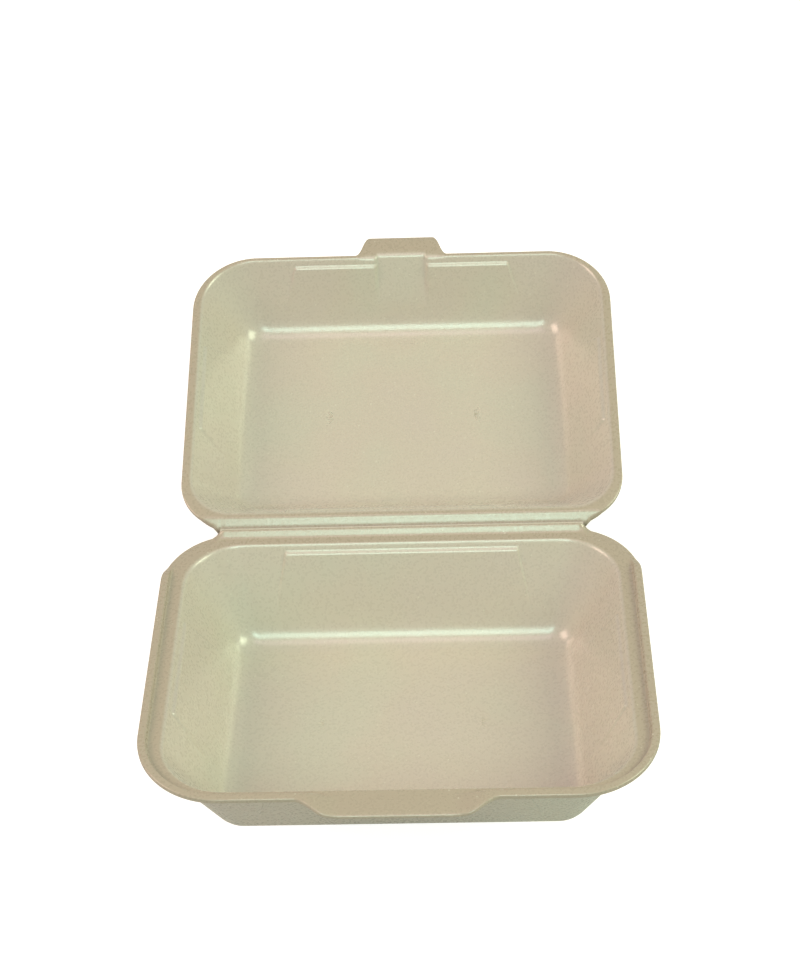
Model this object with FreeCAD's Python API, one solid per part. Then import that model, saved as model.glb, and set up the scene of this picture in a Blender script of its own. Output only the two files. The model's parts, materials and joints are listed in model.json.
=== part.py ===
"""Foam clamshell container, lying open.

The real thing is one sheet of polystyrene foam, heated and pressed into two trays that stay joined by a creased hinge.
It has only the two pieces that move apart there: the base tray and the lid tray.
Each tray is drawn in a tray frame: x along the hinge, y from the crease towards the far edge, z up from the rim plane.
The open container then lies with the flat of its lid down and its base tipped back on its rounded bottom edge.
"""

import FreeCAD, Part
import math
import os

V = FreeCAD.Vector

# the sheet, in millimetres
SHEET = 2.3  # thickness of the pressed foam
FLOOR_FILLET = 6.0  # inside radius where a wall meets a floor
FLOOR_CORNER = 7.0  # plan radius of the floors' corners
EASE = 1.2  # rounding of the edge where a wall starts

# the base tray
BASE_WIDTH = 185.0
BASE_DEPTH = 139.7  # crease to the front edge
BASE_DEEP = 37.6  # rim plane to the floor
BASE_RUN = 19.3  # how far the back and side walls lean in on their way down
BASE_FRONT_RUN = 15.6
BASE_FRONT_CORNER = 31.0
BASE_BACK_CORNER = 28.0
BASE_SHOULDER = 0.4  # the back corners' arcs reach to this distance from the crease
LIP_WIDTH = 3.2  # top of the lip that stands round the rebate
LIP_THICK = 1.5  # the lip and the flap are pressed thinner than the sheet
LIP_OVERHANG = 1.1  # width of the lip's level underside, before it slopes to the wall
REBATE = 2.3  # depth of the rebate that the lid's flange drops into
SHELF_SIDE = 5.5
SHELF_FRONT = 2.7
SHELF_BACK = 3.75
REBATE_BACK_CORNER = 22.0
OPENING_BACK_CORNER = 22.0
OPENING_FRONT_CORNER = 23.5
LIP_START = 18.0  # distance from the crease where the side lips begin
LIP_RAMP = 8.0
HINGE_LENGTH = 145.4
RIDGE_TOP = 0.3  # flat top of the ridge in front of the crease
RIDGE_SLOPE = 2.45
WEB_TURN = 70.0  # degrees of each back corner's arc that the web beside the crease runs along

# the front flap and the gap in the lip that the lid's tab lies in
FLAP_ROOT = 68.0
FLAP_EDGE = 52.0
FLAP_LENGTH = 6.0
FLAP_CORNER = 2.6
TAB_CLEARANCE = 1.4  # beside the tab
NOTCH_RAMP = 12.0  # width of the slope on each side of the gap

# the lid tray
LID_DEEP = 27.7
LID_RUN = 18.45
LID_CLEARANCE = 1.0  # between the lid's flange and the rebate, all round
SEAT_CLEARANCE = 0.3  # between the closed flange and the shelf
LID_FLANGE_SIDE = 3.6
LID_FLANGE_FAR = 1.6
LID_FAR_CORNER = 26.3
LID_NEAR_CORNER = 20.8
LID_SHOULDER = 1.33  # the near corners' arcs reach to this distance from the crease
BEVEL_FOOT = 1.9  # distances from the crease of the bevel beside it
BEVEL_HEAD = 5.3
LID_OPENING_NEAR = 7.4
LID_OPENING_NEAR_CORNER = 17.5
LID_OPENING_FAR_CORNER = 23.0

# the lid's tab and the channel that stiffens it
TAB_ROOT = 36.4
TAB_EDGE = 31.6
TAB_LENGTH = 9.4
TAB_CORNER = 4.0
CORNER_FLARE = 3.0  # hollow radius at the roots of the tab and the flap
CHANNEL_WIDTH = 21.4

# the stacking pads pressed into the walls
PAD_BELOW = 2.4  # ledge under the edge of the wall
PAD_OUT = 1.5  # width of the ledge
BASE_PAD_TALL = 22.0
LID_PAD_TALL = 14.0
LONG_PAD = 91.0  # ledge length on the long walls
BASE_SHORT_PAD = 47.0
LID_SHORT_PAD = 41.0
PAD_FLARE = 5.0  # how much further each side spreads towards its foot

# the crease
CREASE_GAP = 0.3
AXIS_BELOW_BASE = 0.7  # the axis under the base's rim plane

BEHIND = 4.0  # how far cutting shapes run past what they cut

# the closed flange lies on the shelf with its clearance, which places the axis under the lid's rim plane
AXIS_BELOW_LID = REBATE - SEAT_CLEARANCE - AXIS_BELOW_BASE
BEVEL_DROP = AXIS_BELOW_BASE + AXIS_BELOW_LID + SEAT_CLEARANCE
CREASE_SIDE = CREASE_GAP / 2
LID_WIDTH = BASE_WIDTH - 2 * (LIP_WIDTH + LID_CLEARANCE)
LID_DEPTH = BASE_DEPTH - LIP_WIDTH - LID_CLEARANCE
CHANNEL_TALL = PAD_BELOW + LID_PAD_TALL  # the channel fades into the wall where the pads do


def rounded(points, radii, z):
    """Closed wire at height z through 2-D points, each corner an arc of its radius."""
    count = len(points)
    starts, middles, ends = [], [], []
    for i, (point, radius) in enumerate(zip(points, radii)):
        here = V(point[0], point[1], z)
        before = V(points[i - 1][0], points[i - 1][1], z)
        after = V(points[(i + 1) % count][0], points[(i + 1) % count][1], z)
        back = (before - here).normalize()
        ahead = (after - here).normalize()
        half = back.getAngle(ahead) / 2
        reach = radius / math.tan(half)
        middle = (back + ahead).normalize()
        starts.append(here + back * reach)
        middles.append(here + middle * (radius / math.sin(half) - radius))
        ends.append(here + ahead * reach)
    edges = []
    for i in range(count):
        if radii[i] > 0:
            edges.append(Part.Arc(starts[i], middles[i], ends[i]).toShape())
        edges.append(Part.LineSegment(ends[i], starts[(i + 1) % count]).toShape())
    return Part.Wire(edges)


def outline(half_width, near, far, near_corner, far_corner, z):
    """Rounded rectangle of a tray, from its near side to its far side."""
    points = [(half_width, near), (half_width, far), (-half_width, far), (-half_width, near)]
    return rounded(points, [near_corner, far_corner, far_corner, near_corner], z)


def prism(wire, height):
    return Part.Face(wire).extrude(V(0, 0, height))


def block(x0, x1, y0, y1, z0, z1):
    return Part.makeBox(x1 - x0, y1 - y0, z1 - z0, V(x0, y0, z0))


def strip(section, half_width):
    """A (y, z) section drawn out along x."""
    corners = [V(-half_width, y, z) for y, z in section]
    face = Part.Face(Part.makePolygon(corners + corners[:1]))
    return face.extrude(V(2 * half_width, 0, 0))


class Bowl:
    """The inside of a tray below its rim: straight walls that lean in, the far one by a run of its own."""

    def __init__(self, half_width, near, far, near_corner, far_corner, top, floor, run, far_run):
        self.half_width, self.near, self.far = half_width, near, far
        self.near_corner, self.far_corner = near_corner, far_corner
        self.top, self.floor, self.run = top, floor, run
        self.slope = run / (top - floor)
        self.far_slope = far_run / (top - floor)
        self.offset = SHEET * math.hypot(1, self.slope)  # level distance between the sheet's faces

    def wire(self, grow, z, corners=None):
        """The wall line at height z, grown by a level distance."""
        inset = (self.top - z) * self.slope - grow
        far = self.far - (self.top - z) * self.far_slope + grow
        near_corner, far_corner = corners or (self.near_corner + grow, self.far_corner + grow)
        return outline(self.half_width - inset, self.near + inset, far, near_corner, far_corner, z)

    def solid(self, thickness):
        """The space inside the sheet's inner face, or with its thickness given, inside its outer face."""
        grow = self.offset * thickness / SHEET
        bottom = self.floor - thickness
        corner = FLOOR_CORNER + thickness
        loft = Part.makeLoft(
            [self.wire(grow, bottom, (corner, corner)), self.wire(grow, self.top)], True, True
        )
        foot = [e for e in loft.Edges if abs(e.BoundBox.ZMax - bottom) < 1e-6]
        return loft.makeFillet(FLOOR_FILLET + thickness, foot)

    def mouth(self):
        """The eased edge where the walls start."""
        low = self.top - EASE
        return Part.makeLoft([self.wire(0, low), self.wire(EASE, self.top)], True, True)

    def pad(self, length, tall, shift, slope):
        """One pad on a wall that faces +y at y = 0, moved out by shift: a ledge, and a face that fades out."""
        ledge = self.top - PAD_BELOW
        foot = ledge - tall
        at_ledge = PAD_BELOW * slope - shift
        at_foot = (PAD_BELOW + tall) * slope - shift
        section = [
            (at_ledge + PAD_OUT, ledge),
            (at_foot, foot),
            (at_foot - BEHIND, foot),
            (at_ledge - BEHIND, ledge),
        ]
        wedge = strip(section, length / 2 + PAD_FLARE)
        face = [
            V(-length / 2, -2 * BEHIND, ledge),
            V(length / 2, -2 * BEHIND, ledge),
            V(length / 2 + PAD_FLARE, -2 * BEHIND, foot),
            V(-length / 2 - PAD_FLARE, -2 * BEHIND, foot),
        ]
        sides = Part.Face(Part.makePolygon(face + face[:1])).extrude(V(0, 8 * BEHIND + at_foot, 0))
        return wedge.common(sides)

    def pads(self, long_pad, short_pad, tall, shift):
        """A pad on each of the four walls."""
        centre = (self.near + self.far) / 2
        places = [
            (long_pad, 0, V(0, self.near, 0), self.slope),
            (long_pad, 180, V(0, self.far, 0), self.far_slope),
            (short_pad, 90, V(self.half_width, centre, 0), self.slope),
            (short_pad, -90, V(-self.half_width, centre, 0), self.slope),
        ]
        made = []
        for length, turn, place, slope in places:
            pad = self.pad(length, tall, shift, slope)
            pad.rotate(V(0, 0, 0), V(0, 0, 1), turn)
            pad.translate(place)
            made.append(pad)
        return made


def base_tray():
    half_width = BASE_WIDTH / 2
    under = REBATE + SHEET
    rim = (half_width, BASE_SHOULDER, BASE_DEPTH, BASE_BACK_CORNER, BASE_FRONT_CORNER)
    riser_side = half_width - LIP_WIDTH
    riser_front = BASE_DEPTH - LIP_WIDTH
    riser_back = CREASE_SIDE + RIDGE_TOP + RIDGE_SLOPE
    bowl = Bowl(
        riser_side - SHELF_SIDE,
        riser_back + SHELF_BACK,
        riser_front - SHELF_FRONT,
        OPENING_BACK_CORNER,
        OPENING_FRONT_CORNER,
        -REBATE,
        -BASE_DEEP,
        BASE_RUN,
        BASE_FRONT_RUN,
    )

    # the shelf runs all round, and the lip stands on it along the sides and the front
    shelf = prism(outline(*rim, -under), SHEET)
    rebate_outline = outline(
        riser_side, riser_back, riser_front, REBATE_BACK_CORNER, BASE_FRONT_CORNER - LIP_WIDTH, -REBATE
    )
    lip = prism(outline(*rim, -REBATE), REBATE).cut(prism(rebate_outline, BEHIND))
    ramp = [
        (LIP_START, -REBATE),
        (LIP_START + LIP_RAMP, 0),
        (LIP_START + LIP_RAMP, BEHIND),
        (-BEHIND, BEHIND),
        (-BEHIND, -REBATE),
    ]
    lip = lip.cut(strip(ramp, half_width + BEHIND))

    # under the lip the sheet slopes in to the wall
    kept = []
    for inset, z in ((LIP_OVERHANG, -LIP_THICK), (LIP_WIDTH, -under)):
        kept.append(
            outline(
                half_width - inset,
                BASE_SHOULDER,
                BASE_DEPTH - inset,
                BASE_BACK_CORNER,
                BASE_FRONT_CORNER - inset,
                z,
            )
        )
    overhang = prism(outline(*rim, -under), under - LIP_THICK).cut(Part.makeLoft(kept, True, True))
    behind_lip = LIP_START + LIP_RAMP
    beyond = block(-half_width, half_width, behind_lip, BASE_DEPTH + BEHIND, -under, -LIP_THICK)
    overhang = overhang.common(beyond)

    # the ridge along the crease, and the web that joins it to the rounded back corners
    ridge = strip(
        [
            (CREASE_SIDE, 0),
            (CREASE_SIDE + RIDGE_TOP, 0),
            (riser_back, -REBATE),
            (bowl.near, -REBATE),
            (bowl.near, -under),
            (CREASE_SIDE + RIDGE_TOP, -under),
            (CREASE_SIDE, -under + SHEET / 2),
        ],
        HINGE_LENGTH / 2,
    )
    turn = math.radians(WEB_TURN)
    shoulder_x = half_width - BASE_BACK_CORNER * (1 - math.cos(turn))
    shoulder_y = BASE_SHOULDER + BASE_BACK_CORNER * (1 - math.sin(turn))
    web = [
        V(-HINGE_LENGTH / 2, CREASE_SIDE, -under),
        V(HINGE_LENGTH / 2, CREASE_SIDE, -under),
        V(shoulder_x, shoulder_y, -under),
        V(-shoulder_x, shoulder_y, -under),
    ]
    web = Part.Face(Part.makePolygon(web + web[:1])).extrude(V(0, 0, SHEET))

    # the flap and its lowered middle, where the lid's tab comes to lie
    root, edge = FLAP_ROOT / 2, FLAP_EDGE / 2
    flap = rounded(
        [
            (-root - 2 * CORNER_FLARE, riser_front),
            (root + 2 * CORNER_FLARE, riser_front),
            (root + 2 * CORNER_FLARE, BASE_DEPTH),
            (root, BASE_DEPTH),
            (edge, BASE_DEPTH + FLAP_LENGTH),
            (-edge, BASE_DEPTH + FLAP_LENGTH),
            (-root, BASE_DEPTH),
            (-root - 2 * CORNER_FLARE, BASE_DEPTH),
        ],
        [0, 0, 0, CORNER_FLARE, FLAP_CORNER, FLAP_CORNER, CORNER_FLARE, 0],
        -REBATE - LIP_THICK,
    )
    flap = prism(flap, REBATE + LIP_THICK)
    notch = TAB_ROOT / 2 + TAB_CLEARANCE
    far = BASE_DEPTH + FLAP_LENGTH + BEHIND
    lowered = [
        V(-notch, riser_front - BEHIND, -REBATE),
        V(notch, riser_front - BEHIND, -REBATE),
        V(notch + NOTCH_RAMP, riser_front - BEHIND, 0),
        V(notch + NOTCH_RAMP, riser_front - BEHIND, BEHIND),
        V(-notch - NOTCH_RAMP, riser_front - BEHIND, BEHIND),
        V(-notch - NOTCH_RAMP, riser_front - BEHIND, 0),
    ]
    lowered = Part.Face(Part.makePolygon(lowered + lowered[:1])).extrude(
        V(0, far - riser_front + BEHIND, 0)
    )
    beside = root + 3 * CORNER_FLARE
    wing = [
        V(notch, BASE_DEPTH, -REBATE - LIP_THICK - BEHIND),
        V(beside, BASE_DEPTH, -REBATE - LIP_THICK - BEHIND),
        V(beside, BASE_DEPTH, -LIP_THICK),
        V(notch + NOTCH_RAMP, BASE_DEPTH, -LIP_THICK),
        V(notch, BASE_DEPTH, -REBATE - LIP_THICK),
    ]
    wing = Part.Face(Part.makePolygon(wing + wing[:1])).extrude(V(0, far - BASE_DEPTH, 0))
    wings = [wing, wing.mirror(V(0, 0, 0), V(1, 0, 0))]

    tray = shelf.fuse(lip).cut(overhang)
    tray = tray.fuse([ridge, web, flap, bowl.solid(SHEET)])
    outer_pads = bowl.pads(LONG_PAD, BASE_SHORT_PAD, BASE_PAD_TALL, bowl.offset)
    tray = tray.cut([lowered] + wings + outer_pads)
    inside = bowl.solid(0).fuse(bowl.mouth())
    inside = inside.cut(bowl.pads(LONG_PAD, BASE_SHORT_PAD, BASE_PAD_TALL, 0))
    return tray.cut(inside), bowl


def lid_tray():
    half_width = LID_WIDTH / 2
    bowl = Bowl(
        half_width - LID_FLANGE_SIDE,
        LID_OPENING_NEAR,
        LID_DEPTH - LID_FLANGE_FAR,
        LID_OPENING_NEAR_CORNER,
        LID_OPENING_FAR_CORNER,
        0,
        -LID_DEEP,
        LID_RUN,
        LID_RUN,
    )
    rim = (half_width, LID_SHOULDER, LID_DEPTH, LID_NEAR_CORNER, LID_FAR_CORNER)
    flange = prism(outline(*rim, -SHEET), SHEET)
    beyond_bevel = block(-half_width, half_width, BEVEL_HEAD, LID_DEPTH + BEHIND, -SHEET, 0)
    flange = flange.common(beyond_bevel)

    # the bevel that drops from the flange to the crease
    lean = SHEET * math.tan(math.atan2(BEVEL_DROP, BEVEL_HEAD - BEVEL_FOOT) / 2)
    bevel = strip(
        [
            (CREASE_SIDE, -BEVEL_DROP),
            (BEVEL_FOOT, -BEVEL_DROP),
            (BEVEL_HEAD, 0),
            (LID_OPENING_NEAR, 0),
            (LID_OPENING_NEAR, -SHEET),
            (BEVEL_HEAD + lean, -SHEET),
            (BEVEL_FOOT + lean, -BEVEL_DROP - SHEET),
            (CREASE_SIDE, -BEVEL_DROP - SHEET),
        ],
        half_width,
    )
    low = -BEVEL_DROP - SHEET
    plan = prism(outline(*rim, low), -low)
    hinge = block(-HINGE_LENGTH / 2, HINGE_LENGTH / 2, CREASE_SIDE, LID_OPENING_NEAR, low, 0)
    bevel = bevel.common(plan.fuse(hinge))

    root, edge = TAB_ROOT / 2, TAB_EDGE / 2
    tab = rounded(
        [
            (-root - 2 * CORNER_FLARE, LID_DEPTH - LID_FLANGE_FAR),
            (root + 2 * CORNER_FLARE, LID_DEPTH - LID_FLANGE_FAR),
            (root + 2 * CORNER_FLARE, LID_DEPTH),
            (root, LID_DEPTH),
            (edge, LID_DEPTH + TAB_LENGTH),
            (-edge, LID_DEPTH + TAB_LENGTH),
            (-root, LID_DEPTH),
            (-root - 2 * CORNER_FLARE, LID_DEPTH),
        ],
        [0, 0, 0, CORNER_FLARE, TAB_CORNER, TAB_CORNER, CORNER_FLARE, 0],
        -SHEET,
    )
    tab = prism(tab, SHEET)

    def channel(shift, top):
        """The channel's space, from the flange's far edge down to where it fades into the wall."""
        foot = bowl.far - CHANNEL_TALL * bowl.slope + shift
        head = LID_DEPTH + shift
        section = [
            (head, 0),
            (head, top),
            (bowl.far - BEHIND, top),
            (foot - BEHIND, -CHANNEL_TALL),
            (foot, -CHANNEL_TALL),
        ]
        return strip(section, CHANNEL_WIDTH / 2 + shift * SHEET / bowl.offset)

    outside = bowl.solid(SHEET).cut(bowl.pads(LONG_PAD, LID_SHORT_PAD, LID_PAD_TALL, bowl.offset))
    outside = outside.common(prism(outline(*rim, -LID_DEEP - SHEET), LID_DEEP + SHEET))
    inside = bowl.solid(0).fuse(bowl.mouth())
    inside = inside.cut(bowl.pads(LONG_PAD, LID_SHORT_PAD, LID_PAD_TALL, 0)).fuse(channel(0, BEHIND))
    tray = flange.fuse([bevel, tab, outside, channel(bowl.offset, 0)])
    return tray.cut(inside), bowl


def tip_angle(bowl):
    """How far the base tips back, in degrees: its rounded back edge and the lid's flat then touch one level."""
    axis = LID_DEEP + SHEET - AXIS_BELOW_LID
    radius = FLOOR_FILLET + SHEET
    bottom = bowl.floor - SHEET
    foot = bowl.near + (bowl.top - bottom) * bowl.slope - bowl.offset
    turn = math.pi / 2 - math.atan(bowl.slope)
    centre_y = foot + radius * math.tan(turn / 2)
    centre_z = bottom + radius + AXIS_BELOW_BASE
    reach = math.hypot(centre_y, centre_z)
    return math.degrees(math.atan2(-centre_z, centre_y) - math.asin((axis - radius) / reach))


base, base_bowl = base_tray()
lid, lid_bowl = lid_tray()
angle = tip_angle(base_bowl)
axis_height = LID_DEEP + SHEET - AXIS_BELOW_LID

base.rotate(V(0, 0, 0), V(0, 0, 1), 180)
base.translate(V(0, 0, AXIS_BELOW_BASE))
base.rotate(V(0, 0, 0), V(1, 0, 0), -angle)
lid.translate(V(0, 0, AXIS_BELOW_LID))

front = base.optimalBoundingBox().YMin
back = lid.optimalBoundingBox().YMax
axis_y = -(front + back) / 2
for tray in (base, lid):
    tray.translate(V(0, axis_y, axis_height))

os.makedirs("parts", exist_ok=True)
for name, tray in (("base_tray", base), ("lid_tray", lid)):
    solid = tray.removeSplitter()
    solid.exportStep("parts/" + name + ".step")
    print(name, "solids", len(solid.Solids), "valid", solid.isValid(), "volume mm3", round(solid.Volume))
print("tip angle", round(angle, 3), "crease at y", round(axis_y, 3), "z", round(axis_height, 3))
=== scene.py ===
"""Foam clamshell container, lying open on a pale floor.

One sheet of expanded polystyrene foam, heated and pressed into a deep base tray and a shallower lid tray,
with a crease pressed between them for a hinge. Sizes are millimetres unless a name or comment says otherwise.
"""

import json
import math

import bpy
import numpy as np
from mathutils import Matrix, Vector


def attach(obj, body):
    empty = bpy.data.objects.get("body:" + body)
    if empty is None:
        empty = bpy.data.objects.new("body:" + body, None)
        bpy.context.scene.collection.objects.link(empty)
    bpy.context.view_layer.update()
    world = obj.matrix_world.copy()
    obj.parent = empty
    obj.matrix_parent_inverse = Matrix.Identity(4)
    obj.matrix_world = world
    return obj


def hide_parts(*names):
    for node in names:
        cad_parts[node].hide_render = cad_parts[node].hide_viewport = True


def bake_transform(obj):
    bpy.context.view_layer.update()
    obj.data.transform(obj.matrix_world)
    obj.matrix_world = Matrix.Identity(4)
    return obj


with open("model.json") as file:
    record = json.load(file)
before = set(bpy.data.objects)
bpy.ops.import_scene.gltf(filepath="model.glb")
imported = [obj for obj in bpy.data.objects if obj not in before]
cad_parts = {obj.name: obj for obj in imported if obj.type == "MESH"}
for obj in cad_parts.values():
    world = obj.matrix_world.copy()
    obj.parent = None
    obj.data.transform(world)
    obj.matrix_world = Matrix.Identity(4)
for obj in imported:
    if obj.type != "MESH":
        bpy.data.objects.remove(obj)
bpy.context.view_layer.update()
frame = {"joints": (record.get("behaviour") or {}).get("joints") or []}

# The crease that joins the two trays. The open container rests on the flat of its lid and on the rounded back
# edge of the deeper base, so the base leans back about the crease by the angle that brings both to the floor.
MM = 0.001
hinge = next(joint for joint in frame["joints"] if joint["name"] == "lid_hinge")
crease = Vector(hinge["pos_m"])
lean = math.radians(-hinge["range_deg"][0])
AXIS_BELOW_BASE_RIM = 0.7
AXIS_BELOW_LID_RIM = 1.3


def place_base(points):
    """Base tray points (x, distance from the crease, height over the rim) in the frame, in metres."""
    x, away, height = np.asarray(points, float).T * MM
    height = height + AXIS_BELOW_BASE_RIM * MM
    y = -away * math.cos(lean) + height * math.sin(lean) + crease.y
    z = away * math.sin(lean) + height * math.cos(lean) + crease.z
    return np.column_stack((-x, y, z))


def place_lid(points):
    """Lid tray points in the frame, in metres."""
    x, away, height = np.asarray(points, float).T * MM
    return np.column_stack((x, away + crease.y, height + AXIS_BELOW_LID_RIM * MM + crease.z))


# Camera, at the angle from which the open container was photographed: a hand-held view from above the front,
# a little to the right of the middle. Its turn and place are measured from the base's rim.
LENS_PIXELS = 2019.4
LONG_SIDE_PIXELS = 966
CAMERA_FROM_CREASE = Vector((26.4, -595.9, 528.7))
CAMERA_YAW = math.radians(-2.50)
CAMERA_PITCH = math.radians(40.29)
CAMERA_ROLL = math.radians(2.82)

camera = bpy.data.objects.new("camera", bpy.data.cameras.new("camera"))
bpy.context.scene.collection.objects.link(camera)
bpy.context.scene.camera = camera
camera.data.sensor_width = 36.0
camera.data.lens = LENS_PIXELS * camera.data.sensor_width / LONG_SIDE_PIXELS
camera.data.clip_start = 0.05
camera.data.clip_end = 20.0
rim_to_frame = Matrix.Rotation(-lean, 4, "X")
aim = Matrix.Rotation(-CAMERA_YAW, 4, "Z") @ Matrix.Rotation(math.pi / 2 - CAMERA_PITCH, 4, "X")
aim = aim @ Matrix.Rotation(-CAMERA_ROLL, 4, "Z")
camera_place = crease + rim_to_frame @ (CAMERA_FROM_CREASE * MM)
camera.matrix_world = Matrix.Translation(camera_place) @ rim_to_frame @ aim

# Base tray. The skin follows the mould on both faces, so every edge is softly rounded. A lip stands round the
# shelf that the lid drops on. It fades out in the back corners, and sinks at the front where the tab tucks in.
REBATE = 2.3
HINGE_HALF = 72.7
WEB_SLOPE = 1.23  # how steeply the notch between the trays opens, away from the crease
WEB_LEAD = 0.8  # share of a point's reach by which its notch starts before the hinge's end
WEB_WIDTH = 8.0
RIM_DEPTH = -5.0
UPPER_SKIN = -3.0  # rings of the rim above this height are on its upper skin
RIDGE_FADES = (HINGE_HALF - 2, HINGE_HALF + 1)
LIP_STARTS = 18.0
LIP_RAMP = 8.0
BACK_THICKER = 0.4  # behind the lip the shelf keeps this much more of the sheet's thickness
FLAP_ROOT = 34.0
FLAP_EDGE = 26.0
FLAP_LENGTH = 6.0
FLAP_SOFT = 1.6  # how far the bends at both ends of its slanted sides reach
TAB_GAP = 19.1
TAB_GAP_RAMP = 12.5
FRONT_FADES = (12.0, 8.0)  # distances from the front edge between which the sides end and the front begins
PAD_BELOW = 2.4
PAD_OUT = 0.9
PAD_FLARE = 5.0
PAD_SOFT = 0.35
PAD_FADE = 8.0  # below a pad, the columns of points come back to their places over this height
BASE_LEDGE = 1.2  # height that a ledge slopes down over: the base's ledges are the softer ones
LID_LEDGE = 1.0
LEDGE_MARGIN = 0.1  # a ledge's slope starts this much over its edge
PAD_REACH = 10.0  # how far beside a pad's end the columns of points follow its slanted side
LONG_PAD = 91.0
BASE_TOP = -REBATE
BASE_SHORT_PAD = 47.0
BASE_PAD_TALL = 22.0
BASE_MIDDLE = 70.2
BASE_CREASE_SHADE_REACH = 0.3  # shade is painted dark on the skin within this distance of the crease

# Points round a tray's outline, on half of its near or far part, on a corner and on a side. They stand closest
# at the sides of the tab and at the ends of the pads: each pair is a place and a share of the points.
NEAR_POINTS, CORNER_POINTS, SIDE_POINTS = 96, 30, 72
ACROSS = ((0, 0), (12.5, 0.18), (20.5, 0.42), (42.5, 0.68), (48.5, 0.88))
FULL_WIDTH = 57.0
SIDE_SHARES = (0, 0.15, 0.39, 0.61, 0.85, 1)
FULL_SIDE = 75.0
PAD_END = 3.0  # half the stretch at a pad's end where the points stand closest
ON_LINE = 0.01  # a point this near to the line of a side counts as on it
ROUNDING_STEPS = 6
WALL_STEP = 2.6  # most that two rings stand apart
LAST_STEP = 1.4  # a stretch that is up to this many steps long isn't divided
MEASURED = [0, 1, 2, 5, 6]  # the values of a station that set how far apart two rings are
PRESSED_FADES = (0.02, 0.2)  # the skin grows dense over this share of the way from a wall to the rim


def smooth(value, low, high):
    """0 under low, 1 over high, and an even curve between."""
    t = np.clip((value - low) / (high - low), 0, 1)
    return t * t * (3 - 2 * t)


def across(width):
    """Distances from the middle of a near or far side to the end of its straight part."""
    scale = min(1, width / FULL_WIDTH)
    stops = [place * scale for place, share in ACROSS] + [width]
    shares = [share for place, share in ACROSS] + [1]
    return np.interp(np.linspace(0, 1, NEAR_POINTS + 1), shares, stops)


def along(start, end, middle, pad_half):
    """Places along the straight part of a side, from the near corner to the far one."""
    scale = min(1, (end - start) / FULL_SIDE)
    low, high = middle - pad_half * scale, middle + pad_half * scale
    close = PAD_END * scale
    stops = [start, low - close, low + close, high - close, high + close, end]
    return np.interp(np.linspace(0, 1, SIDE_POINTS + 1), SIDE_SHARES, stops)[:-1]


def outline(half_width, near, far, near_corner, far_corner, middle, pad_half):
    """Points round a rounded rectangle, from the middle of its near side to the right and round to it again."""
    turn = np.linspace(0, math.pi / 2, CORNER_POINTS, endpoint=False)
    near_x = across(half_width - near_corner)[:-1]
    side_y = along(near + near_corner, far - far_corner, middle, pad_half)
    far_x = across(half_width - far_corner)[::-1]
    x = np.concatenate((
        near_x,
        half_width - near_corner + near_corner * np.sin(turn),
        np.full(SIDE_POINTS, half_width),
        half_width - far_corner + far_corner * np.cos(turn),
        far_x,
    ))
    y = np.concatenate((
        np.full(NEAR_POINTS, near),
        near + near_corner - near_corner * np.cos(turn),
        side_y,
        far - far_corner + far_corner * np.sin(turn),
        np.full(NEAR_POINTS + 1, far),
    ))
    return np.concatenate((x, -x[-2:0:-1])), np.concatenate((y, y[-2:0:-1]))


def section(stations, step):
    """Rows of outline values along a tray's section, with each station rounded and the straights divided."""
    rows = []
    for i, station in enumerate(stations):
        values, rounding = np.array(station[:-1], float), station[-1]
        if rounding == 0 or i in (0, len(stations) - 1):
            rows.append(values)
            continue
        legs = [np.array(stations[i + step][:-1], float) - values for step in (-1, 1)]
        lengths = [math.hypot(leg[0], leg[5] + leg[6]) for leg in legs]
        ends = [values + leg * min(0.5, rounding / max(length, 1e-6)) for leg, length in zip(legs, lengths)]
        for t in np.linspace(0, 1, ROUNDING_STEPS + 1):
            rows.append((1 - t) ** 2 * ends[0] + 2 * t * (1 - t) * values + t * t * ends[1])
    divided = [rows[0]]
    for row in rows[1:]:
        start = divided[-1]
        length = np.abs(row - start)[MEASURED].max()
        t = 0.0
        while length > 0 and t + LAST_STEP * step((start + (row - start) * t)[5]) / length < 1:
            t += step((start + (row - start) * t)[5]) / length
            divided.append(start + (row - start) * t)
        divided.append(row)
    return divided


def pads(x, away, height, top, middle, short_pad, tall, ledge, half_width, near, far):
    """Moves wall points inwards where the pads are pressed: a ledge, and a face that fades into the wall."""
    below = top - PAD_BELOW - height
    depth = PAD_OUT * smooth(below, -LEDGE_MARGIN, ledge) * np.clip(1 - below / tall, 0, 1)
    flare = PAD_FLARE * np.clip(below / tall, 0, 1) * (1 - smooth(below, tall, tall + PAD_FADE))
    from_end = np.abs(x) - LONG_PAD / 2
    from_side_end = np.abs(away - middle) - short_pad / 2
    on_side = half_width - np.abs(x) < ON_LINE
    on_near = (away - near < ON_LINE) & ~on_side
    on_far = (far - away < ON_LINE) & ~on_side
    inwards = depth * smooth(-from_end, -PAD_SOFT, PAD_SOFT) * (on_near * 1.0 - on_far * 1.0)
    side_inwards = depth * smooth(-from_side_end, -PAD_SOFT, PAD_SOFT) * on_side
    spread = flare * np.clip(1 - np.abs(from_end) / PAD_REACH, 0, 1) * (on_near | on_far)
    side_spread = flare * np.clip(1 - np.abs(from_side_end) / PAD_REACH, 0, 1) * on_side
    x = x + np.sign(x) * (spread - side_inwards)
    return x, away + inwards + np.sign(away - middle) * side_spread


def to_crease(x, away, reach):
    """Brings the near side's rim to its reach from the crease along the hinge, with a notch at each end."""
    web = reach + np.maximum(0, np.abs(x) - HINGE_HALF + WEB_LEAD * reach) * WEB_SLOPE
    beside = (np.abs(x) < HINGE_HALF + WEB_WIDTH) & (away < LIP_STARTS)
    return np.where(beside, np.minimum(away, web), away)


def tongue(x, root, edge, soft):
    """Share of its full length that a flap or tab reaches at x: straight slanted sides with rounded ends."""
    moves = np.linspace(-soft, soft, 9)
    shares = [np.clip((root - np.abs(x) + move) / (root - edge), 0, 1) for move in moves]
    return np.mean(shares, axis=0)


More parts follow.
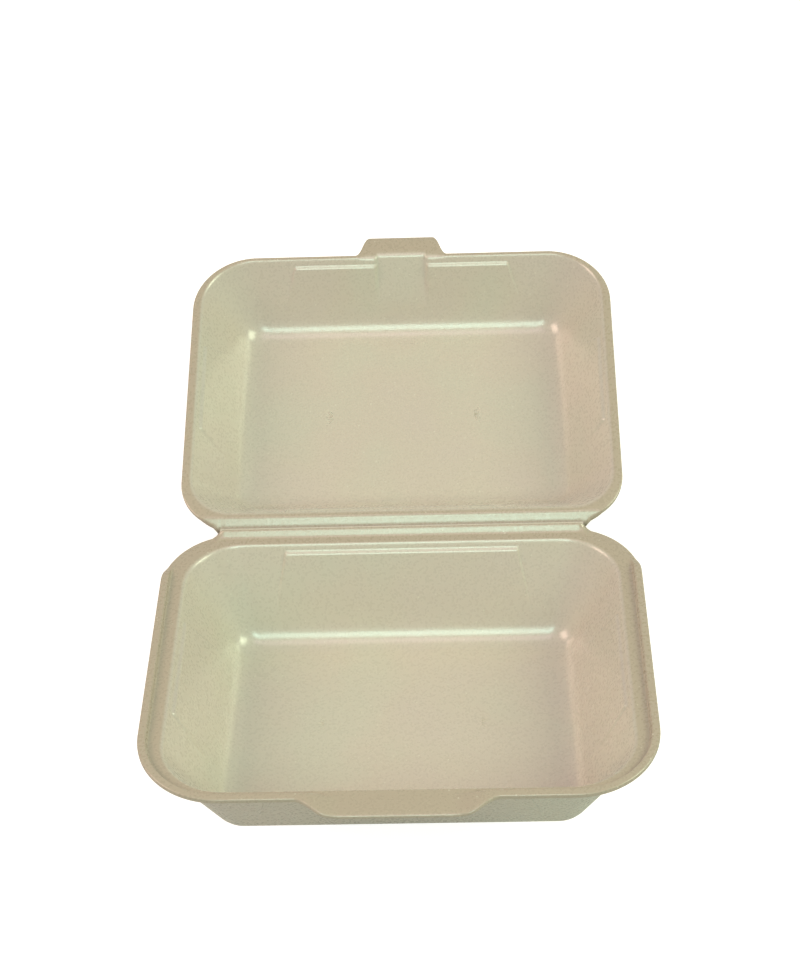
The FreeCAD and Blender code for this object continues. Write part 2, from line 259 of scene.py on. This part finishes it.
def press(name, rows, ring, place, inside_out, crease_shade_reach):
    """The skin of one tray, from rings of points that run from its floor over its rim to its underside.

    Its attribute "pressed" is 0 on the walls and floor, 1 on the denser rim and 2 along the crease, where shade
    is painted dark.
    """
    rings = [ring(row) for row in rows]
    count = len(rings[0])
    mesh = bpy.data.meshes.new(name)
    points = place(np.concatenate(rings))
    faces = []
    for row in range(len(rings) - 1):
        for i in range(count):
            j = (i + 1) % count
            a, b = row * count, (row + 1) * count
            faces.append((a + i, a + j, b + j, b + i))
    last = (len(rings) - 1) * count
    half = count // 2
    for first in (0, last):
        for i in range(half // 2):
            right = (i, i + 1, half - i - 1, half - i)
            left = (half + i, half + i + 1, count - i - 1, (count - i) % count)
            for quad in (right, left):
                quad = list(dict.fromkeys(first + corner for corner in quad))
                faces.append(tuple(reversed(quad)) if first == 0 else tuple(quad))
    if inside_out:
        faces = [tuple(reversed(face)) for face in faces]
    mesh.from_pydata(points.tolist(), [], faces)
    mesh.shade_smooth()
    mesh.update()
    pressed = mesh.attributes.new("pressed", "FLOAT", "POINT")
    share = np.repeat([smooth(1 - row[-1], *PRESSED_FADES) for row in rows], count)
    # Painted shade: points near the crease go up to 2, which the foam turns into a dark shade colour.
    share = share + 1 - smooth(np.concatenate(rings)[:, 1], crease_shade_reach / 2, crease_shade_reach)
    pressed.data.foreach_set("value", share.astype(np.float32))
    made = bpy.data.objects.new(name, mesh)
    bpy.context.scene.collection.objects.link(made)
    return made


def base_ring(row):
    """One ring of the base tray's skin."""
    half_width, near, far, near_corner, far_corner, height, lift, reach, flare, wall = row
    x, away = outline(half_width, near, far, near_corner, far_corner, BASE_MIDDLE, BASE_SHORT_PAD / 2)
    if height < BASE_TOP and wall == 1:
        x, away = pads(
            x, away, height, BASE_TOP, BASE_MIDDLE, BASE_SHORT_PAD, BASE_PAD_TALL, BASE_LEDGE,
            half_width, near, far,
        )
    if height > RIM_DEPTH:
        away = to_crease(x, away, reach)
    ridge = (1 - smooth(np.abs(x), *RIDGE_FADES)) * (away < LIP_STARTS) * (height > UPPER_SKIN)
    side = smooth(away, LIP_STARTS, LIP_STARTS + LIP_RAMP)
    front = smooth(away, far - FRONT_FADES[0], far - FRONT_FADES[1])
    gap = smooth(np.abs(x), TAB_GAP, TAB_GAP + TAB_GAP_RAMP)
    raised = np.maximum(ridge, side * (1 - front * (1 - gap)))
    away = away + flare * FLAP_LENGTH * tongue(x, FLAP_ROOT, FLAP_EDGE, FLAP_SOFT) * (away > far / 2)
    if lift > 0 and height < UPPER_SKIN:
        height = height - BACK_THICKER * (1 - side)
    return np.column_stack((x, away, height + lift * raised))


# Stations of the section: half width, near, far, near corner, far corner, height, lift, reach, flare, wall and
# rounding. Near and far are distances from the crease, and reach is the near one along the hinge. Lift is what
# the lip and the ridge add to the height. Flare is 1 where the flap or tab grows, and wall is 0 on the rim.
base_stations = [
    (30, 60.2, 80.2, 8, 8, -37.6, 0, 60.2, 0, 1, 0),
    (64.5, 25.95, 117.4, 7, 7, -37.6, 0, 25.95, 0, 1, 6.0),
    (83.8, 6.65, 133.8, 22, 23.5, -2.3, 0, 8.5, 0, 1, 1.5),
    (89.2, 4.6, 136.4, 22, 27.7, -2.3, 0, 3.0, 0, 0, 0.7),
    (89.5, 2.9, 136.6, 22, 27.9, -2.3, 2.3, 0.8, 0, 0, 0.7),
    (92.5, 0.4, 139.7, 28, 31, -2.3, 2.3, 0.15, 1, 0, 0.7),
    (92.5, 0.4, 139.7, 28, 31, -4.2, 2.3, 0.15, 1, 0, 0.5),
    (91.4, 1.5, 138.6, 27.6, 30, -4.2, 2.3, 0.3, 0, 0, 0.2),
    (89.3, 3.3, 136.5, 26.5, 28, -4.6, 0, 1.0, 0, 0, 0.6),
    (85.2, 5.3, 135.4, 24.6, 26.1, -4.6, 0, 5.0, 0, 1, 0.6),
    (65.9, 24.6, 119.0, 9.3, 9.3, -39.9, 0, 24.6, 0, 1, 5.4),
    (30, 60.2, 80.2, 8, 8, -39.9, 0, 60.2, 0, 1, 0),
]


def ring_step(top, ledge, at_ledge, at_rim, rim_foot):
    """A function of the height for the distance between rings: least at the pads' ledges and over the rim."""

    def step(height):
        from_ledge = abs(height - top + PAD_BELOW + ledge / 2) - ledge / 2 - LEDGE_MARGIN
        return min(max(from_ledge, at_ledge), at_rim if height > rim_foot else WALL_STEP)

    return step


base_step = ring_step(BASE_TOP, BASE_LEDGE, at_ledge=0.3, at_rim=1.2, rim_foot=-8)
base = press(
    "foam_base",
    section(base_stations, base_step),
    base_ring,
    place_base,
    inside_out=True,
    crease_shade_reach=BASE_CREASE_SHADE_REACH,
)

# Champagne polystyrene foam. Tiny closed cells under a glazed skin give it a satin gloss with a fine grain, and
# a colour that drifts a little between green, straw and pink.
CELL = 0.8  # width of a foam cell, drawn slightly coarser than the real 0.3 to 0.5 so that it shows
RIPPLE = 2.4 * CELL  # width of the skin's shallow ripples
DRIFT = 45.0  # width of the clouds in the colour
PINHOLE_STEP = 4.5  # between the pinholes in the skin


def linear(colour):
    """sRGB hex colour, turned to the linear values that a shader takes."""
    parts = [int(colour[i:i + 2], 16) / 255 for i in (1, 3, 5)]
    return [part / 12.92 if part <= 0.04045 else ((part + 0.055) / 1.055) ** 2.4 for part in parts] + [1.0]


def add(tree, kind, settings=None, links=None):
    """A new node of this kind, with its settings and input values set and its inputs linked."""
    node = tree.nodes.new(kind)
    for name, value in (settings or {}).items():
        if name in node.inputs:
            node.inputs[name].default_value = value
        else:
            setattr(node, name, value)
    for name, output in (links or {}).items():
        tree.links.new(output, node.inputs[name])
    return node


def champagne_foam():
    """Pressed polystyrene foam: satin, pearly, with cells that show as a fine grain, and painted shade along
    the crease.
    """
    made = bpy.data.materials.new("champagne_polystyrene_foam")
    made.use_nodes = True
    tree = made.node_tree
    tree.nodes.clear()
    place = add(tree, "ShaderNodeTexCoord").outputs["Object"]
    clouds = add(tree, "ShaderNodeTexNoise", {"Scale": 1 / (DRIFT * MM), "Detail": 2.0}, {"Vector": place})
    tint = add(tree, "ShaderNodeValToRGB", None, {"Fac": clouds.outputs["Fac"]})
    tint.color_ramp.elements[0].position = 0.36
    tint.color_ramp.elements[0].color = linear("#CCC6B3")
    tint.color_ramp.elements[1].position = 0.64
    tint.color_ramp.elements[1].color = linear("#CEC3B3")
    middle = tint.color_ramp.elements.new(0.5)
    middle.color = linear("#CEC4B2")
    cells = add(tree, "ShaderNodeTexVoronoi", {"Scale": 1 / (CELL * MM)}, {"Vector": place})
    cell_tone = add(tree, "ShaderNodeMapRange", {"From Max": 1.0, "To Min": 0.985, "To Max": 1.015})
    tree.links.new(cells.outputs["Color"], cell_tone.inputs["Value"])
    # The rim takes its denser tone. Near the crease that tone darkens to a painted shade, standing in for the
    # shadow in the crease.
    rim = add(tree, "ShaderNodeAttribute", {"attribute_name": "pressed"})
    dense_rim_and_crease_shade = add(tree, "ShaderNodeMix", {"data_type": "RGBA"})
    crease_shade = add(tree, "ShaderNodeMapRange", {"From Min": 1.0, "From Max": 2.0}, {"Value": rim.outputs["Fac"]})
    rim_or_crease_shade = add(tree, "ShaderNodeMix", {"data_type": "RGBA"})
    tree.links.new(crease_shade.outputs["Result"], rim_or_crease_shade.inputs[0])
    # the rim's own tone, then the painted shade colour of the crease
    rim_or_crease_shade.inputs[6].default_value = linear("#B8AA93")
    rim_or_crease_shade.inputs[7].default_value = linear("#7E745C")
    tree.links.new(rim.outputs["Fac"], dense_rim_and_crease_shade.inputs[0])
    tree.links.new(tint.outputs["Color"], dense_rim_and_crease_shade.inputs[6])
    tree.links.new(rim_or_crease_shade.outputs[2], dense_rim_and_crease_shade.inputs[7])
    grain = add(tree, "ShaderNodeVectorMath", {"operation": "SCALE"}, {0: dense_rim_and_crease_shade.outputs[2]})
    tree.links.new(cell_tone.outputs["Result"], grain.inputs["Scale"])
    holes = add(tree, "ShaderNodeTexVoronoi", {"Scale": 1 / (PINHOLE_STEP * MM)}, {"Vector": place})
    speck = add(tree, "ShaderNodeMapRange", {"From Min": 0.05, "From Max": 0.09})
    tree.links.new(holes.outputs["Distance"], speck.inputs["Value"])
    speck.inputs["To Min"].default_value = 0.35
    speck.inputs["To Max"].default_value = 0.0
    colour = add(tree, "ShaderNodeMix", {"data_type": "RGBA"})
    tree.links.new(speck.outputs["Result"], colour.inputs[0])
    tree.links.new(grain.outputs["Vector"], colour.inputs[6])
    colour.inputs[7].default_value = linear("#F3F0DC")
    gloss = add(tree, "ShaderNodeMapRange", {"To Min": 0.2, "To Max": 0.42})
    tree.links.new(cells.outputs["Color"], gloss.inputs["Value"])
    ripple = add(tree, "ShaderNodeTexNoise", {"Scale": 1 / (RIPPLE * MM), "Detail": 3.0}, {"Vector": place})
    skin = add(tree, "ShaderNodeBump", {"Strength": 0.15, "Distance": 0.1 * MM})
    tree.links.new(ripple.outputs["Fac"], skin.inputs["Height"])
    relief = add(tree, "ShaderNodeBump", {"Strength": 0.2, "Distance": 0.07 * MM})
    tree.links.new(cells.outputs["Distance"], relief.inputs["Height"])
    tree.links.new(skin.outputs["Normal"], relief.inputs["Normal"])
    shader = add(tree, "ShaderNodeBsdfPrincipled", {"IOR": 1.59, "Sheen Weight": 0.1, "Sheen Roughness": 0.4})
    shader.inputs["Coat Weight"].default_value = 1.0
    shader.inputs["Coat IOR"].default_value = 1.65
    shader.inputs["Coat Roughness"].default_value = 0.25
    tree.links.new(relief.outputs["Normal"], shader.inputs["Coat Normal"])
    tree.links.new(colour.outputs[2], shader.inputs["Base Color"])
    tree.links.new(gloss.outputs["Result"], shader.inputs["Roughness"])
    tree.links.new(relief.outputs["Normal"], shader.inputs["Normal"])
    surface = add(tree, "ShaderNodeOutputMaterial")
    tree.links.new(shader.outputs["BSDF"], surface.inputs["Surface"])
    return made


foam = champagne_foam()
base.data.materials.append(foam)
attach(base, "base")
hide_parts("base_tray")

# Lid tray, shallower than the base and a little smaller, so that its thin flange drops inside the base's lip.
# A bevel steps down to the crease, and a channel down the far wall stiffens the root of the tab.
LID_PAD_TALL = 14.0
LID_SHORT_PAD = 41.0
LID_MIDDLE = 70.65
TAB_ROOT = 18.2
TAB_EDGE = 15.0
TAB_LENGTH = 9.4
TAB_SOFT = 1.3
CHANNEL_HALF = 10.7
CHANNEL_DEPTH = 1.6
CHANNEL_SOFT = 0.5
CHANNEL_CATCH = 3.0  # points this near to the far wall's line belong to it, also on its pads
BEVEL_FOOT = 1.9
BEVEL_HEAD = 5.3
BEVEL_DROP = 2.3
# shade is painted dark on the lid's skin within this distance of the crease, at the foot of the bevel
LID_CREASE_SHADE_REACH = 2.2


def lid_ring(row):
    """One ring of the lid tray's skin."""
    half_width, near, far, near_corner, far_corner, height, lift, reach, flare, wall = row
    x, away = outline(half_width, near, far, near_corner, far_corner, LID_MIDDLE, LID_SHORT_PAD / 2)
    if height < 0 and wall == 1:
        x, away = pads(
            x, away, height, 0, LID_MIDDLE, LID_SHORT_PAD, LID_PAD_TALL, LID_LEDGE,
            half_width, near, far,
        )
    if height > RIM_DEPTH:
        away = to_crease(x, away, reach)
    channel = smooth(CHANNEL_HALF - np.abs(x), -CHANNEL_SOFT, CHANNEL_SOFT)
    channel = channel * wall * (away > far - CHANNEL_CATCH)
    depth = CHANNEL_DEPTH * np.clip(1 + height / (PAD_BELOW + LID_PAD_TALL), 0, 1)
    away = away + channel * (far + depth - away)
    away = away + flare * TAB_LENGTH * tongue(x, TAB_ROOT, TAB_EDGE, TAB_SOFT) * (away > far / 2)
    drop = BEVEL_DROP * np.clip((BEVEL_HEAD - away) / (BEVEL_HEAD - BEVEL_FOOT), 0, 1)
    return np.column_stack((x, away, height - drop))


lid_stations = [
    (30, 60.65, 80.65, 8, 8, -27.7, 0, 60.65, 0, 1, 0),
    (66.25, 25.85, 115.45, 7, 7, -27.7, 0, 25.85, 0, 1, 6.0),
    (84.7, 7.4, 133.9, 17.5, 23, 0, 0, 9.0, 0, 1, 1.3),
    (88.3, 1.33, 135.5, 20.8, 26.3, 0, 0, 0.15, 1, 0, 0.6),
    (88.2, 1.33, 135.5, 20.8, 26.3, -2.3, 0, 0.15, 1, 0, 0.6),
    (85.9, 6.2, 135.1, 18.7, 24.2, -2.3, 0, 7.0, 0, 1, 1.2),
    (67.5, 24.6, 116.7, 9.3, 9.3, -30.0, 0, 24.6, 0, 1, 5.6),
    (30, 60.65, 80.65, 8, 8, -30.0, 0, 60.65, 0, 1, 0),
]

lid_step = ring_step(0, LID_LEDGE, at_ledge=0.15, at_rim=0.9, rim_foot=-3)
lid = press(
    "foam_lid",
    section(lid_stations, lid_step),
    lid_ring,
    place_lid,
    inside_out=False,
    crease_shade_reach=LID_CREASE_SHADE_REACH,
)
lid.data.materials.append(foam)
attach(lid, "lid")
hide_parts("lid_tray")

# Crease of the living hinge: the same foam, crushed to a thin strip where the real sheet bends. It runs a
# little way into the edge of each tray, where it is one with the sheet.
STRIP_HALF = 0.9
STRIP_TOP = -0.45
STRIP_THICK = 0.7
STRIP_IN = 1.0  # the strip ends this far inside the hinge's ends
STRIP_ROWS = 73
STRIP_CELLS = 16

strip_points = []
strip_faces = []
for i, x in enumerate(np.linspace(-HINGE_HALF + STRIP_IN, HINGE_HALF - STRIP_IN, STRIP_ROWS)):
    for side in range(2):
        for y in np.linspace(-STRIP_HALF, STRIP_HALF, STRIP_CELLS + 1):
            strip_points.append((x, y, AXIS_BELOW_BASE_RIM + STRIP_TOP - side * STRIP_THICK))
    if i:
        now, before = i * 2 * (STRIP_CELLS + 1), (i - 1) * 2 * (STRIP_CELLS + 1)
        for k in range(STRIP_CELLS):
            strip_faces.append((before + k, now + k, now + k + 1, before + k + 1))
            low = STRIP_CELLS + 1 + k
            strip_faces.append((before + low, before + low + 1, now + low + 1, now + low))
        for edge, flip in ((0, False), (STRIP_CELLS, True)):
            low = edge + STRIP_CELLS + 1
            quad = (before + edge, before + low, now + low, now + edge)
            strip_faces.append(tuple(reversed(quad)) if flip else quad)
strip_mesh = bpy.data.meshes.new("foam_crease")
strip_mesh.from_pydata([tuple(crease + Vector(point) * MM) for point in strip_points], [], strip_faces)
strip_mesh.shade_smooth()
strip_mesh.update()
strip = bpy.data.objects.new("foam_crease", strip_mesh)
bpy.context.scene.collection.objects.link(strip)
strip.data.materials.append(foam)
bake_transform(strip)

# Floor and light of the studio: a white paper sweep in a pale room, and soft lamps above and to both sides.
FLOOR_HALF = 3.0  # metres


def pick_for_camera(tree, output_kind, usual, seen):
    """Ends a node tree: the camera sees one shader, and all other light meets the usual one."""
    ray = add(tree, "ShaderNodeLightPath").outputs["Is Camera Ray"]
    pick = add(tree, "ShaderNodeMixShader", None, {0: ray, 1: usual.outputs[0], 2: seen.outputs[0]})
    add(tree, output_kind, None, {"Surface": pick.outputs[0]})


white = bpy.data.materials.new("white_paper_sweep")
white.use_nodes = True
tree = white.node_tree
tree.nodes.clear()
paper = add(tree, "ShaderNodeBsdfDiffuse", {"Color": linear("#CCC6BE")})
glow = add(tree, "ShaderNodeEmission", {"Color": linear("#FFFFFF"), "Strength": 0.8})
bright_paper = add(tree, "ShaderNodeAddShader", None, {0: paper.outputs[0], 1: glow.outputs[0]})
pick_for_camera(tree, "ShaderNodeOutputMaterial", paper, bright_paper)

floor_mesh = bpy.data.meshes.new("floor")
corners = [(-1, -1), (1, -1), (1, 1), (-1, 1)]
floor_mesh.from_pydata([(x * FLOOR_HALF, y * FLOOR_HALF, 0) for x, y in corners], [], [(0, 1, 2, 3)])
floor = bpy.data.objects.new("floor", floor_mesh)
bpy.context.scene.collection.objects.link(floor)
floor.data.materials.append(white)

world = bpy.data.worlds.new("soft_room")
bpy.context.scene.world = world
world.use_nodes = True
tree = world.node_tree
tree.nodes.clear()
room = add(tree, "ShaderNodeBackground", {"Color": linear("#F6F6F8"), "Strength": 0.42})
sweep = add(tree, "ShaderNodeBackground", {"Color": linear("#FFFFFF")})
pick_for_camera(tree, "ShaderNodeOutputWorld", room, sweep)

# name, place, width and height in metres, power in watts, colour
lamps = [
    ("overhead", (0.0, -0.62, 1.08), 0.5, 0.5, 3.9, "#D8FFEC"),
    ("ceiling", (0.0, 0.1, 1.5), 0.6, 0.6, 1.7, "#FFDCEA"),
    ("left", (-0.95, 0.1, 0.8), 0.6, 0.6, 5.6, "#FFDCC8"),
    ("right", (0.95, 0.1, 0.8), 0.6, 0.6, 6.5, "#F2FDD6"),
]
for name, spot, width, height, power, tone in lamps:
    light = bpy.data.lights.new(name, "AREA")
    light.shape = "RECTANGLE"
    light.size = width
    light.size_y = height
    light.energy = power
    light.color = linear(tone)[:3]
    lamp = bpy.data.objects.new(name, light)
    lamp.location = spot
    lamp.rotation_euler = (-Vector(spot)).to_track_quat("-Z", "Y").to_euler()
    bpy.context.scene.collection.objects.link(lamp)

bpy.context.scene.view_settings.view_transform = "Standard"
